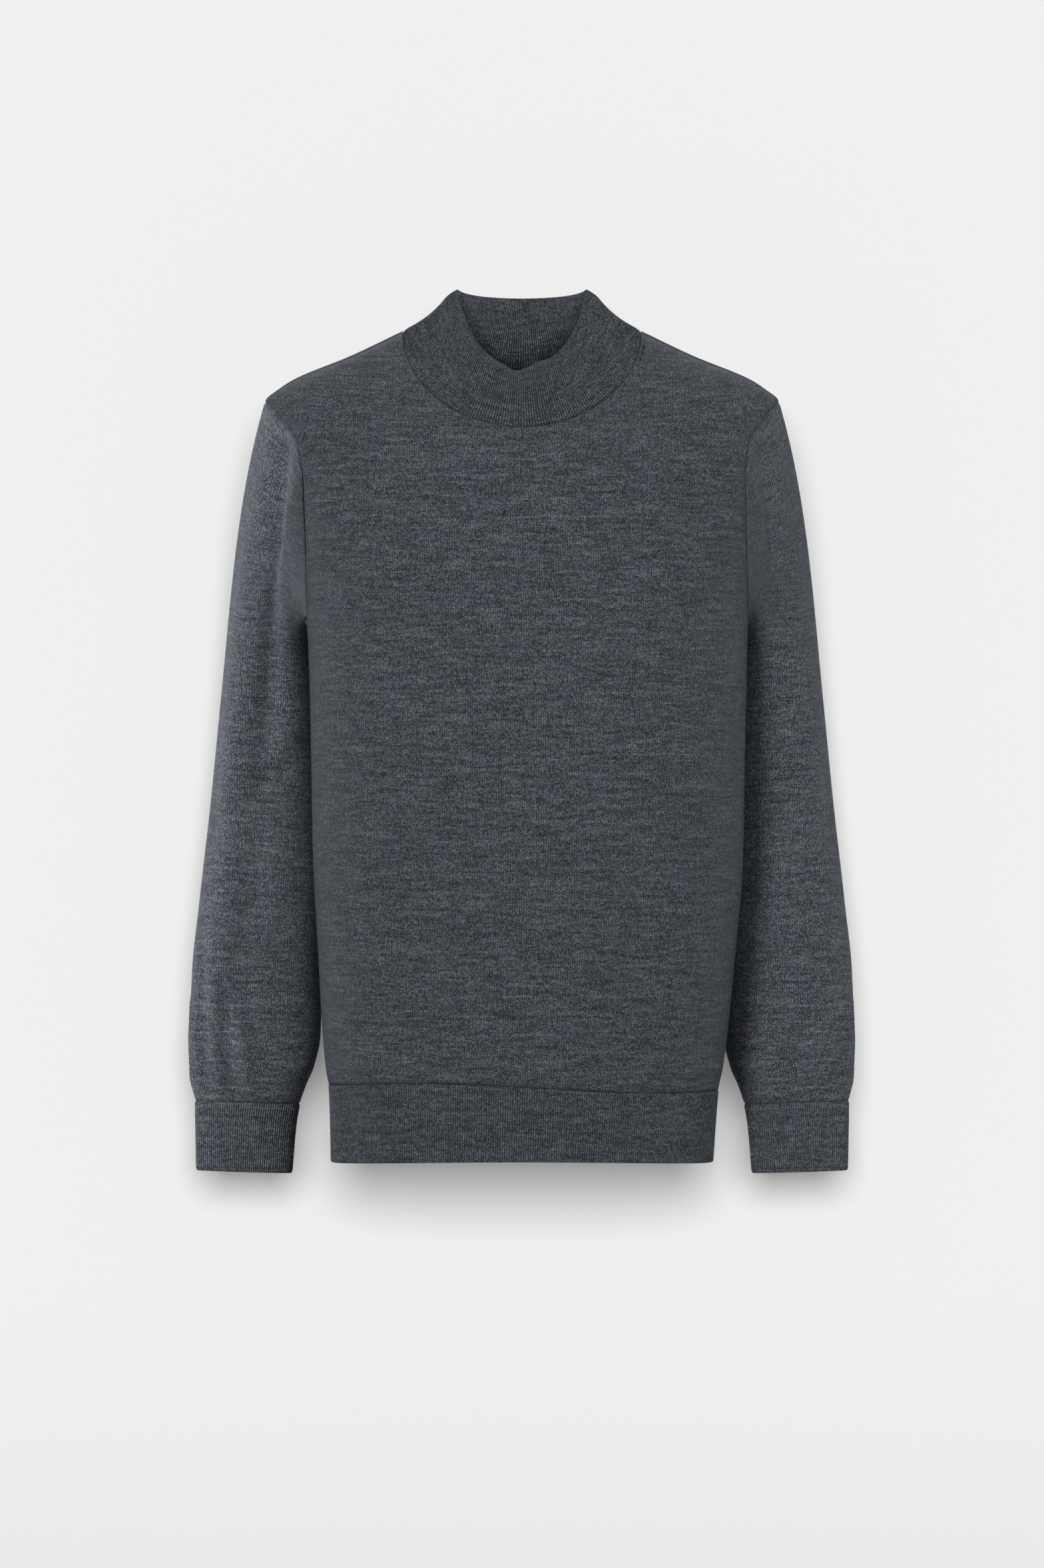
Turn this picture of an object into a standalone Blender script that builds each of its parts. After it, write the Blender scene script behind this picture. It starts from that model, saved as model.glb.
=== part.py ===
"""Fine-knit mock-neck sweater, filled out as if worn: hollow, with its neck, hem and cuffs open.

Metres, +Z up. The front faces -Y, and the wearer's left is +X. The origin is the middle of the neck, level with the
points where the collar meets the shoulder ridge. Each knitted piece is a closed wall whose outer skin is a grid of
points worked out from the cut, and pieces that are linked together end on the same seam line, a thread's gap apart.
"""

import bpy
import numpy as np

# Walls of the knitted pieces, and the gap between two linked pieces
JERSEY_WALL = 0.0016
RIB_WALL = 0.0022
COLLAR_WALL = 0.0030  # the rib is folded double
SEAM_GAP = 0.0003

# Heights
SHOULDER_Z = -0.058
SHOULDER_HALF = 0.2104
UNDERARM_Z = -0.235
HEM_SEAM_Z = -0.619
HEM_Z = -0.6795
CAP_END_Z = -0.300  # below this a sleeve's rings are level
CUFF_SEAM_Z = -0.633
CUFF_Z = -0.690

# The trunk as (height, size): half its width, from its shoulder line down, the depth of the front and of the back
# from the side seams' plane, that plane's place, and how far the middle leans sideways
HALF_WIDTH = [
    (-0.680, 0.1560),
    (-0.645, 0.1575),
    (-0.619, 0.1592),
    (-0.604, 0.1620),
    (-0.573, 0.1655),
    (-0.515, 0.1700),
    (-0.435, 0.1755),
    (-0.307, 0.1780),
    (UNDERARM_Z, 0.1805),
    (-0.200, 0.1838),
    (-0.160, 0.1885),
    (-0.125, 0.1965),
    (-0.096, 0.2055),
    (-0.074, 0.2092),
    (SHOULDER_Z, SHOULDER_HALF),
    (-0.046, 0.1973),
    (-0.039, 0.1860),
    (-0.020, 0.1400),
    (0.000, 0.0980),
]
FRONT_DEPTH = [
    (-0.680, 0.0890),
    (-0.616, 0.0930),
    (-0.540, 0.0985),
    (-0.400, 0.1025),
    (-0.235, 0.1045),
    (-0.180, 0.1035),
    (-0.125, 0.0985),
    (-0.096, 0.0885),
    (-0.075, 0.0755),
    (-0.041, 0.0500),
    (-0.020, 0.0330),
    (0.000, 0.0130),
]
BACK_DEPTH = [
    (-0.680, 0.1000),
    (-0.616, 0.1050),
    (-0.540, 0.1100),
    (-0.400, 0.1155),
    (-0.270, 0.1200),
    (-0.235, 0.1195),
    (-0.160, 0.1105),
    (-0.096, 0.0910),
    (-0.060, 0.0720),
    (-0.032, 0.0500),
    (-0.020, 0.0360),
    (0.000, 0.0130),
]
SIDE_PLANE = [
    (-0.680, -0.010),
    (-0.371, -0.013),
    (-0.290, -0.011),
    (UNDERARM_Z, -0.007),
    (-0.125, -0.001),
    (0.000, 0.0),
]
LEAN = [
    (-0.680, 0.0000),
    (-0.618, 0.0015),
    (-0.560, 0.0028),
    (-0.435, 0.0049),
    (-0.300, 0.0049),
    (-0.180, 0.0035),
    (-0.114, 0.0016),
    (SHOULDER_Z, 0.0),
    (0.000, 0.0),
]
FRONT_ROUND = 2.5  # superellipse exponents of the trunk's level sections
BACK_ROUND = 2.0
ARMHOLE = [
    (UNDERARM_Z, 0.1805),
    (-0.200, 0.1795),
    (-0.160, 0.1795),
    (-0.125, 0.1797),
    (-0.096, 0.1830),
    (-0.074, 0.1955),
    (SHOULDER_Z, SHOULDER_HALF),
]
HEM_SEAM_WAVE = 0.004  # the linking line of the hem rib rises and falls once round the front
HEM_SEAM_WAVELENGTH = 0.400
HEM_FRONT_LIFT = 0.003

# The neck seam, and the collar's top edge
NECK_HALF = 0.098
NECK_FRONT_DROP = 0.082
NECK_BACK_DROP = 0.032
NECK_SHARE = NECK_HALF / SHOULDER_HALF  # of a panel's top edge, from shoulder point to shoulder point
NECK_SHARE_BELOW = 0.64  # of the same columns' width below the underarms, where they fan out
COLLAR_TOP_HALF = 0.0565
COLLAR_TOP_Z = 0.034
COLLAR_TOP_FRONT = (-0.049, -0.0314)  # y and z
COLLAR_TOP_BACK = (0.044, 0.0292)
COLLAR_HOLLOW = 0.004  # how far the collar's sides curve in
COLLAR_PEAK = 0.12  # how softly its edge turns over at the sides

# A sleeve as (height, middle x, middle y, half its width, half its depth)
SLEEVE = [
    (-0.692, 0.2287, 0.038, 0.0393, 0.0125),
    (-0.650, 0.2273, 0.039, 0.0415, 0.0155),
    (-0.633, 0.2260, 0.040, 0.0432, 0.0170),
    (-0.618, 0.2252, 0.041, 0.0472, 0.0200),
    (-0.604, 0.2226, 0.042, 0.0507, 0.0230),
    (-0.577, 0.2200, 0.045, 0.0540, 0.0260),
    (-0.522, 0.2182, 0.049, 0.0535, 0.0310),
    (-0.468, 0.2140, 0.055, 0.0520, 0.0360),
    (-0.386, 0.2095, 0.064, 0.0475, 0.0410),
    (CAP_END_Z, 0.2060, 0.065, 0.0425, 0.0455),
]
SLEEVE_ROUND = 2.2
CUFF_TILT = 0.03
# How the sleeve sets off from the armhole at its top, front, underarm and back (for the wearer's left side)
CAP_START = np.array(
    [
        (0.070, 0.010, -0.237),
        (0.070, 0.020, -0.120),
        (0.085, 0.045, 0.015),
        (0.080, 0.060, -0.080),
    ]
)
CAP_END_PULL = np.array([0.245, 0.180, 0.140, 0.170])  # lengths of the curves' end tangents, in the same order

# Grid sizes
NECK_STEPS = 12
SHOULDER_STEPS = 6
ARMHOLE_STEPS = 12
TRUNK_ROWS = 10
CAP_ROWS = 7
ARM_ROWS = 9
COLLAR_ROWS = 4
RIB_ROWS = 2


def smooth(keys, at):
    """The smooth curve through (place, value...) keys: cubic pieces with the harmonic mean of the slopes at each key."""
    table = np.array(sorted(keys), float)
    places, values = table[:, 0], table[:, 1:]
    gaps = np.diff(places)[:, None]
    rises = np.diff(values, axis=0) / gaps
    same_way = rises[:-1] * rises[1:] > 0
    mean = 2 * rises[:-1] * rises[1:] / np.where(same_way, rises[:-1] + rises[1:], 1)
    slopes = np.concatenate([rises[:1], np.where(same_way, mean, 0), rises[-1:]])
    at = np.asarray(at, float)
    i = np.clip(np.searchsorted(places, at, side="right") - 1, 0, len(gaps) - 1)
    s = ((at - places[i]) / gaps[i, 0])[..., None]
    found = (
        (1 + 2 * s) * (1 - s) ** 2 * values[i]
        + s * (1 - s) ** 2 * gaps[i] * slopes[i]
        + s**2 * (3 - 2 * s) * values[i + 1]
        + s**2 * (s - 1) * gaps[i] * slopes[i + 1]
    )
    return found[..., 0] if found.shape[-1] == 1 else found


def on_trunk(x, z, front):
    """The trunk's point above (x, z), x from its middle: a superellipse section at height z."""
    power = FRONT_ROUND if front else BACK_ROUND
    depth = smooth(FRONT_DEPTH if front else BACK_DEPTH, z)
    across = np.clip(np.abs(x) / smooth(HALF_WIDTH, z), 0, 1)
    y = depth * (1 - across**power) ** (1 / power)
    plane = smooth(SIDE_PLANE, z)
    return np.stack([x + smooth(LEAN, z), plane - y if front else plane + y, z], axis=-1)


def column_places(neck_share):
    """Places across, -1 to 1, of a panel's columns: even ones within the neck's share, then closing up outwards."""
    middle = np.linspace(-neck_share, neck_share, NECK_STEPS + 1)
    turn = np.linspace(np.arcsin(neck_share), np.pi / 2, SHOULDER_STEPS + 1)[1:]
    return np.concatenate([-np.sin(turn[::-1]), middle, np.sin(turn)])


def top_edge(across, front):
    """(x, z) of a panel's top: the shoulder ridge, then half an ellipse of neck, then the other ridge."""
    drop = NECK_FRONT_DROP if front else NECK_BACK_DROP
    turn = np.clip(across / NECK_SHARE, -1, 1) * np.pi / 2
    heights = np.linspace(0, SHOULDER_Z, 400)
    widths = smooth(HALF_WIDTH, heights)
    ridge_z = np.interp(np.abs(across) * widths[-1], widths, heights)
    on_ridge = np.abs(across) >= NECK_SHARE
    x = np.where(on_ridge, np.sign(across) * smooth(HALF_WIDTH, ridge_z), NECK_HALF * np.sin(turn))
    return x, np.where(on_ridge, ridge_z, -drop * np.cos(turn))


def armhole_edge(rise):
    """(x, z) of the armhole, from the underarm at rise 0 to the shoulder point at 1."""
    z = UNDERARM_Z + (SHOULDER_Z - UNDERARM_Z) * (1 - np.cos(np.pi * rise)) / 2
    return smooth(ARMHOLE, z), z


def hem_seam(across, front):
    """Height of the line where the jersey is linked to the hem rib."""
    x = across * smooth(HALF_WIDTH, HEM_SEAM_Z)
    lift = HEM_FRONT_LIFT * (1 - across**2) if front else 0
    return HEM_SEAM_Z + lift - HEM_SEAM_WAVE * np.sin(2 * np.pi * x / HEM_SEAM_WAVELENGTH)


def panel(front):
    """Front or back: level rows up to the underarms, then a patch spread between armholes, ridges and neck."""
    across = column_places(NECK_SHARE_BELOW)
    share = np.linspace(0, 1, TRUNK_ROWS + 1)[:-1, None]
    seam = hem_seam(across, front)
    low_z = seam + (UNDERARM_Z - seam) * share
    low_x = across * smooth(HALF_WIDTH, low_z)

    rise = np.linspace(0, 1, ARMHOLE_STEPS + 1)[:, None]
    arm_x, arm_z = armhole_edge(rise)
    top_x, top_z = top_edge(column_places(NECK_SHARE), front)
    under, shoulder = smooth(HALF_WIDTH, UNDERARM_Z), smooth(HALF_WIDTH, SHOULDER_Z)
    flat_x = (1 - rise) * under * across + rise * top_x
    high_x = flat_x + across * (arm_x - (1 - rise) * under - rise * shoulder)
    flat_z = (1 - rise) * UNDERARM_Z + rise * top_z
    high_z = flat_z + arm_z - (1 - rise) * UNDERARM_Z - rise * SHOULDER_Z
    x = np.concatenate([low_x, high_x])
    z = np.concatenate([low_z, high_z])
    return on_trunk(x, z, front)


def hem_rib(front):
    """Half of the hem rib, from its lower edge up to the linking line."""
    across = column_places(NECK_SHARE_BELOW)
    low = HEM_Z + (HEM_FRONT_LIFT * (1 - across**2) if front else 0)
    share = np.linspace(0, 1, RIB_ROWS + 1)[:, None]
    z = low + (hem_seam(across, front) - low) * share
    return on_trunk(across * smooth(HALF_WIDTH, z), z, front)


def collar():
    """Mock neck, from the neck seam up to its folded edge, from the wearer's right round by the front."""
    across = np.linspace(-NECK_SHARE, NECK_SHARE, NECK_STEPS + 1)
    front, back = (on_trunk(*top_edge(across, side), side) for side in (True, False))
    base = np.concatenate([front[:-1], back[:0:-1]])
    turn = np.linspace(-np.pi / 2, np.pi / 2, NECK_STEPS + 1)
    edges = []
    level = np.cos(turn)
    drop = (np.hypot(level, COLLAR_PEAK) - COLLAR_PEAK) / (np.hypot(1, COLLAR_PEAK) - COLLAR_PEAK)
    for y, z in (COLLAR_TOP_FRONT, COLLAR_TOP_BACK):
        edge = [COLLAR_TOP_HALF * np.sin(turn), y * level, COLLAR_TOP_Z + (z - COLLAR_TOP_Z) * drop]
        edges.append(np.stack(edge, axis=-1))
    top = np.concatenate([edges[0][:-1], edges[1][:0:-1]])
    share = np.linspace(0, 1, COLLAR_ROWS + 1)[:, None, None]
    inward = np.stack([-base[:, 0] / NECK_HALF, 0 * base[:, 0], -np.abs(base[:, 0]) / NECK_HALF], axis=-1)
    return (1 - share) * base + share * top + COLLAR_HOLLOW * 4 * share * (1 - share) * inward


def sleeve_ring(side, turn, z):
    """A sleeve's level ring: turn is 0 at its outer line and a quarter at its front."""
    middle_x, middle_y, wide, deep = np.moveaxis(smooth(SLEEVE, z), -1, 0)
    out, ahead = (np.sign(c) * np.abs(c) ** (2 / SLEEVE_ROUND) for c in (np.cos(turn), np.sin(turn)))
    x, y = middle_x + wide * out, middle_y - deep * ahead
    return np.stack([side * x, y + 0 * x, z + CUFF_TILT * wide * out], axis=-1)


def armhole_loop(side, turn):
    """The armhole's seam, from the shoulder point down the front to the underarm and up the back."""
    rise = 1 - np.minimum(turn, 2 * np.pi - turn) / np.pi
    x, z = armhole_edge(rise)
    front, back = on_trunk(side * x, z, True), on_trunk(side * x, z, False)
    return np.where((turn <= np.pi)[:, None], front, back)


def sleeve(side):
    """Sleeve: curves from the armhole that settle into level rings, then rings down to the cuff."""
    turn = np.arange(2 * ARMHOLE_STEPS) * np.pi / ARMHOLE_STEPS
    c, s = np.cos(turn), np.sin(turn)
    quarters = np.maximum([c, s, -c, -s], 0).T ** 2
    start = quarters @ CAP_START * [side, 1, 1]
    z = np.full_like(turn, CAP_END_Z)
    first, last = armhole_loop(side, turn), sleeve_ring(side, turn, z)
    step = 0.001
    end = (sleeve_ring(side, turn, z - step) - last) / step * (quarters @ CAP_END_PULL)[:, None]
    t = np.linspace(0, 1, CAP_ROWS + 1)[:-1, None, None]
    cap = (
        (1 + 2 * t) * (1 - t) ** 2 * first
        + t * (1 - t) ** 2 * start
        + t**2 * (3 - 2 * t) * last
        + t**2 * (t - 1) * end
    )
    levels = np.linspace(CAP_END_Z, CUFF_SEAM_Z, ARM_ROWS + 1)
    arm = sleeve_ring(side, turn[None, :], np.repeat(levels[:, None], len(turn), axis=1))
    return np.concatenate([cap, arm])


def cuff(side):
    """Rib cuff, from its linking line to its open end."""
    turn = np.arange(2 * ARMHOLE_STEPS) * np.pi / ARMHOLE_STEPS
    levels = np.linspace(CUFF_SEAM_Z, CUFF_Z, RIB_ROWS + 1)
    return sleeve_ring(side, turn[None, :], np.repeat(levels[:, None], len(turn), axis=1))


def outward(grid, looped, flipped):
    """Unit normals of a grid, from the differences between its rows and columns."""
    along = np.gradient(grid, axis=0)
    around = (np.roll(grid, -1, 1) - np.roll(grid, 1, 1)) / 2 if looped else np.gradient(grid, axis=1)
    normals = np.cross(around, along) * (-1 if flipped else 1)
    return normals / np.linalg.norm(normals, axis=-1, keepdims=True)


def shared_at_seams(pieces):
    """Each piece's normals, those along a seam averaged between the pieces so that their walls meet in a mitre."""
    points = np.concatenate([p["grid"].reshape(-1, 3) for p in pieces])
    normals = np.concatenate([p["normals"].reshape(-1, 3) for p in pieces])
    _, where, count = np.unique(np.round(points, 6), axis=0, return_inverse=True, return_counts=True)
    mean = np.zeros((len(count), 3))
    np.add.at(mean, where.reshape(-1), normals)
    mean /= count[:, None]
    mean /= np.maximum((mean**2).sum(1, keepdims=True), 0.4)
    cuts = np.cumsum([p["grid"].size // 3 for p in pieces])[:-1]
    return [n.reshape(p["grid"].shape) for n, p in zip(np.split(mean[where.reshape(-1)], cuts), pieces)]


def along_edge(line, looped):
    """Each point's direction along an edge, and how far a bend in the edge stretches a mitre there."""
    steps = np.roll(line, -1, 0) - line if looped else np.diff(line, axis=0)
    steps /= np.linalg.norm(steps, axis=-1, keepdims=True)
    before = np.roll(steps, 1, 0) if looped else np.concatenate([steps[:1], steps])
    after = steps if looped else np.concatenate([steps, steps[-1:]])
    length = np.linalg.norm(before + after, axis=-1, keepdims=True)
    return (before + after) / length, 2 / np.maximum(length, 1)


def seam_shift(grid, own, shared, looped):
    """Moves every edge row and column half the seam gap into its own piece, square to the seam's mitre."""
    shift = np.zeros_like(grid)
    for axis in (0,) if looped else (0, 1):
        g, own_n, shared_n, move = (np.moveaxis(a, axis, 0) for a in (grid, own, shared, shift))
        for edge, inner in ((0, 1), (-1, -2)):
            along, stretch = along_edge(g[edge], looped)
            inward = np.sign((np.cross(along, own_n[edge]) * (g[inner] - g[edge])).sum(-1, keepdims=True))
            square = np.cross(along, shared_n[edge]) * inward * stretch
            move[edge] += SEAM_GAP / 2 * square / np.linalg.norm(shared_n[edge], axis=-1, keepdims=True)
    return shift


def quads(rows, columns, looped, start):
    """The four-sided faces of a grid of points numbered from start."""
    number = start + np.arange(rows * columns).reshape(rows, columns)
    if looped:
        number = np.concatenate([number, number[:, :1]], axis=1)
    a, b, c, d = number[:-1, :-1], number[:-1, 1:], number[1:, 1:], number[1:, :-1]
    return np.stack([a, b, c, d], axis=-1).reshape(-1, 4)


def rim(grid, looped):
    """The faces that close the wall between the two skins, round every open edge. Each is split from its lower outer
    corner, so that linked pieces split their rims alike."""
    rows, columns = grid.shape[:2]
    number = np.arange(rows * columns).reshape(rows, columns)
    if looped:
        edges = [np.append(number[0], number[0, 0]), np.append(number[-1], number[-1, 0])[::-1]]
    else:
        edges = [np.concatenate([number[0], number[1:, -1], number[-1, -2::-1], number[-2::-1, 0]])]
    skin = rows * columns
    faces = np.concatenate([np.stack([e[1:], e[:-1], e[:-1] + skin, e[1:] + skin], axis=-1) for e in edges])
    height = np.round(grid.reshape(-1, 3) @ [0.01, 0.1, 1.0], 7)
    turned = height[faces[:, 1]] < height[faces[:, 0]]
    return np.where(turned[:, None], np.roll(faces, -1, axis=1), faces)


def knitted(name, colour, roughness):
    """A material for one knitted piece."""
    material = bpy.data.materials.new(name)
    material.use_nodes = True
    shader = material.node_tree.nodes["Principled BSDF"]
    shader.inputs["Base Color"].default_value = (*colour, 1.0)
    shader.inputs["Roughness"].default_value = roughness
    shader.inputs["Metallic"].default_value = 0.0
    return material


def build_piece(piece, normals, collection, parent):
    """Makes a piece's closed wall: its outer skin, its inner skin and its rims."""
    grid, looped = piece["grid"], piece["looped"]
    outer = grid + seam_shift(grid, piece["normals"], normals, looped)
    inner = outer - piece["wall"] * normals
    rows, columns = grid.shape[:2]
    skin = quads(rows, columns, looped, 0)
    faces = np.concatenate([skin, skin[:, ::-1] + rows * columns, rim(grid, looped)])
    if piece["flipped"]:
        faces = np.roll(faces[:, ::-1], 1, axis=1)
    mesh = bpy.data.meshes.new(piece["name"])
    mesh.from_pydata(np.concatenate([outer.reshape(-1, 3), inner.reshape(-1, 3)]), [], faces.tolist())
    mesh.materials.append(knitted(piece["name"], piece["colour"], piece["roughness"]))
    mesh.shade_smooth()
    mesh.set_sharp_from_angle(angle=np.radians(50))
    made = bpy.data.objects.new(piece["name"], mesh)
    made.parent = parent
    collection.objects.link(made)


JERSEY = {"wall": JERSEY_WALL, "colour": (0.061, 0.067, 0.076), "roughness": 0.90}
RIB = {"wall": RIB_WALL, "colour": (0.057, 0.063, 0.072), "roughness": 0.92}
FOLDED_RIB = {"wall": COLLAR_WALL, "colour": (0.059, 0.065, 0.074), "roughness": 0.92}

PIECES = [
    {"name": "front_panel", "grid": panel(True), "looped": False, "flipped": False, **JERSEY},
    {"name": "back_panel", "grid": panel(False), "looped": False, "flipped": True, **JERSEY},
    {"name": "hem_rib_front", "grid": hem_rib(True), "looped": False, "flipped": False, **RIB},
    {"name": "hem_rib_back", "grid": hem_rib(False), "looped": False, "flipped": True, **RIB},
    {"name": "collar", "grid": collar(), "looped": True, "flipped": False, **FOLDED_RIB},
    {"name": "sleeve_right", "grid": sleeve(-1), "looped": True, "flipped": True, **JERSEY},
    {"name": "sleeve_left", "grid": sleeve(1), "looped": True, "flipped": False, **JERSEY},
    {"name": "cuff_right", "grid": cuff(-1), "looped": True, "flipped": True, **RIB},
    {"name": "cuff_left", "grid": cuff(1), "looped": True, "flipped": False, **RIB},
]


def main():
    for old in list(bpy.data.objects):
        bpy.data.objects.remove(old)
    sweater = bpy.data.collections.new("mock_neck_sweater")
    bpy.context.scene.collection.children.link(sweater)
    held_at = bpy.data.objects.new("worn_neck", None)
    sweater.objects.link(held_at)
    for piece in PIECES:
        piece["normals"] = outward(piece["grid"], piece["looped"], piece["flipped"])
    for piece, normals in zip(PIECES, shared_at_seams(PIECES)):
        build_piece(piece, normals, sweater, held_at)


main()
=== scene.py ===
"""A fine-knit mock-neck sweater of heathered wool, filled out as if worn, with its neck, hem and cuffs open.

Metres, +Z up. The front faces -Y and the wearer's left is +X. The sections follow the sweater as it is made up.
"""

import bpy
import numpy as np
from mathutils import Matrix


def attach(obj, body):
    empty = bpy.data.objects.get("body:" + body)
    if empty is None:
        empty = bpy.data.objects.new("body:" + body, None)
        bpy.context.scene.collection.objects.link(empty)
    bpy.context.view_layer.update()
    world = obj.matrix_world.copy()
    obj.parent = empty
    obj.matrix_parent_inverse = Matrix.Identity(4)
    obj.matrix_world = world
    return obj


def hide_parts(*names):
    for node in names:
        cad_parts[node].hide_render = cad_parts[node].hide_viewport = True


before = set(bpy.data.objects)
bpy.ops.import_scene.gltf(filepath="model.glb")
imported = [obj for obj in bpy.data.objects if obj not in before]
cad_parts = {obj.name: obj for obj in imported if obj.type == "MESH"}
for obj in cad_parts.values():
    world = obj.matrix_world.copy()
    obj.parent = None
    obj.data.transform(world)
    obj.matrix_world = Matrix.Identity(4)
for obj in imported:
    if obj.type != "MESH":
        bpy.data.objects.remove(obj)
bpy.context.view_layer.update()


# ---- Front and back panels -------------------------------------------------------------------------------------------
# Each is knitted to shape in plain wool jersey, from the hem rib's linking line up to the shoulder ridge. A panel
# hangs full over the trunk, so it carries only long soft folds and a slight overhang above the hem rib.

JERSEY_WALL = 0.0016
SHOULDER_Z = -0.058
SHOULDER_HALF = 0.2104
UNDERARM_Z = -0.235
UNDERARM_HALF = 0.1805
HEM_SEAM_Z = -0.619
HALF_WIDTH = [
    (-0.680, 0.1560),
    (-0.645, 0.1575),
    (-0.619, 0.1592),
    (-0.604, 0.1620),
    (-0.573, 0.1655),
    (-0.515, 0.1700),
    (-0.435, 0.1755),
    (-0.307, 0.1780),
    (UNDERARM_Z, UNDERARM_HALF),
    (-0.200, 0.1838),
    (-0.160, 0.1885),
    (-0.125, 0.1965),
    (-0.096, 0.2055),
    (-0.074, 0.2092),
    (SHOULDER_Z, SHOULDER_HALF),
    (-0.046, 0.1973),
    (-0.039, 0.1860),
    (-0.020, 0.1400),
    (0.000, 0.0980),
]
FRONT_DEPTH = [
    (-0.680, 0.0890),
    (-0.616, 0.0930),
    (-0.540, 0.0985),
    (-0.400, 0.1025),
    (-0.235, 0.1045),
    (-0.180, 0.1035),
    (-0.125, 0.0985),
    (-0.096, 0.0885),
    (-0.075, 0.0755),
    (-0.041, 0.0500),
    (-0.020, 0.0330),
    (0.000, 0.0130),
]
BACK_DEPTH = [
    (-0.680, 0.1000),
    (-0.616, 0.1050),
    (-0.540, 0.1100),
    (-0.400, 0.1155),
    (-0.270, 0.1200),
    (-0.235, 0.1195),
    (-0.160, 0.1105),
    (-0.096, 0.0910),
    (-0.060, 0.0720),
    (-0.032, 0.0500),
    (-0.020, 0.0360),
    (0.000, 0.0130),
]
SIDE_PLANE = [
    (-0.680, -0.010),
    (-0.371, -0.013),
    (-0.290, -0.011),
    (UNDERARM_Z, -0.007),
    (-0.125, -0.001),
    (0.000, 0.0),
]
LEAN = [
    (-0.680, 0.0000),
    (-0.618, 0.0015),
    (-0.560, 0.0028),
    (-0.435, 0.0049),
    (-0.300, 0.0049),
    (-0.180, 0.0035),
    (-0.114, 0.0016),
    (SHOULDER_Z, 0.0),
    (0.000, 0.0),
]
ARMHOLE = [
    (UNDERARM_Z, UNDERARM_HALF),
    (-0.200, 0.1795),
    (-0.160, 0.1795),
    (-0.125, 0.1797),
    (-0.096, 0.1830),
    (-0.074, 0.1955),
    (SHOULDER_Z, SHOULDER_HALF),
]
FRONT_ROUND = 2.5
BACK_ROUND = 2.0
HEM_SEAM_WAVE = 0.004
HEM_SEAM_WAVELENGTH = 0.400
HEM_FRONT_LIFT = 0.003
NECK_HALF = 0.098
NECK_FRONT_DROP = 0.082
NECK_BACK_DROP = 0.032
NECK_SHARE = NECK_HALF / SHOULDER_HALF
NECK_SHARE_BELOW = 0.64
NECK_STEPS = 96
SHOULDER_STEPS = 30
ARMHOLE_STEPS = 80
TRUNK_ROWS = 116
RIDGE_POINTS = 400
LAYOUT_STEPS = 24
EDGE_ROUND_REACH = 0.6
EDGE_ROUND_SHARE = 0.8
# How far from a linked edge the painted seam shade reaches.
SEAM_SHADE_BREADTH = 0.0010
LINKING_SINK = 0.0004
LINKING_SINK_BREADTH = 0.0016
OVERHANG_HEIGHT = 0.0010
OVERHANG_UP = 0.016
OVERHANG_BREADTH = 0.011
CALM_SIDE_SHARE = 0.10
CALM_HEM = 0.012
OVERHANG_SIDE_SHARE = 0.05

# Folds on a panel: start (x, z), end (x, z), breadth, height (below 0 for a trough)
FRONT_FOLDS = [
    ((-0.060, -0.330), (-0.054, -0.590), 0.0130, 0.0016),
    ((0.036, -0.330), (0.034, -0.590), 0.0130, 0.0015),
    ((-0.012, -0.380), (-0.010, -0.600), 0.0150, -0.0010),
    ((-0.100, -0.470), (-0.094, -0.606), 0.0120, -0.0010),
    ((0.092, -0.450), (0.086, -0.606), 0.0130, -0.0010),
    ((0.124, -0.330), (0.122, -0.590), 0.0150, 0.0011),
    ((-0.138, -0.300), (-0.132, -0.590), 0.0140, 0.0011),
    ((-0.079, -0.090), (-0.045, -0.106), 0.0040, -0.0011),
    ((-0.084, -0.099), (-0.048, -0.117), 0.0060, 0.0008),
    ((0.140, -0.184), (0.160, -0.188), 0.0045, -0.0012),
    ((-0.163, -0.150), (-0.095, -0.235), 0.0140, 0.0014),
    ((0.163, -0.160), (0.100, -0.245), 0.0140, 0.0013),
    ((-0.160, -0.185), (-0.100, -0.290), 0.0120, -0.0010),
    ((0.160, -0.205), (0.105, -0.300), 0.0120, -0.0009),
    ((-0.150, -0.062), (-0.100, -0.104), 0.0120, 0.0010),
    ((0.150, -0.064), (0.104, -0.108), 0.0120, 0.0009),
    ((-0.060, -0.612), (0.060, -0.612), 0.0060, 0.0010),
]
BACK_FOLDS = [
    ((-0.075, -0.160), (-0.062, -0.420), 0.0180, 0.0022),
    ((0.082, -0.150), (0.066, -0.400), 0.0180, 0.0020),
    ((0.004, -0.230), (-0.004, -0.480), 0.0200, -0.0020),
    ((-0.150, -0.170), (-0.060, -0.300), 0.0140, -0.0016),
    ((0.152, -0.180), (0.070, -0.310), 0.0140, -0.0016),
    ((-0.120, -0.420), (-0.030, -0.500), 0.0150, 0.0020),
    ((0.124, -0.440), (0.035, -0.520), 0.0150, 0.0018),
    ((-0.110, -0.455), (-0.020, -0.535), 0.0120, -0.0016),
    ((0.112, -0.475), (0.030, -0.552), 0.0120, -0.0014),
    ((-0.096, -0.540), (-0.092, -0.606), 0.0110, 0.0014),
    ((0.040, -0.540), (0.042, -0.606), 0.0110, 0.0014),
    ((-0.070, -0.040), (-0.130, -0.075), 0.0110, 0.0012),
    ((0.070, -0.040), (0.130, -0.075), 0.0110, 0.0012),
]


def cubic(t, first, start, last, end):
    """The cubic curve from first to last that leaves along start and arrives along end, with t from 0 to 1."""
    return (
        (1 + 2 * t) * (1 - t) ** 2 * first
        + t * (1 - t) ** 2 * start
        + t**2 * (3 - 2 * t) * last
        + t**2 * (t - 1) * end
    )


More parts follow.
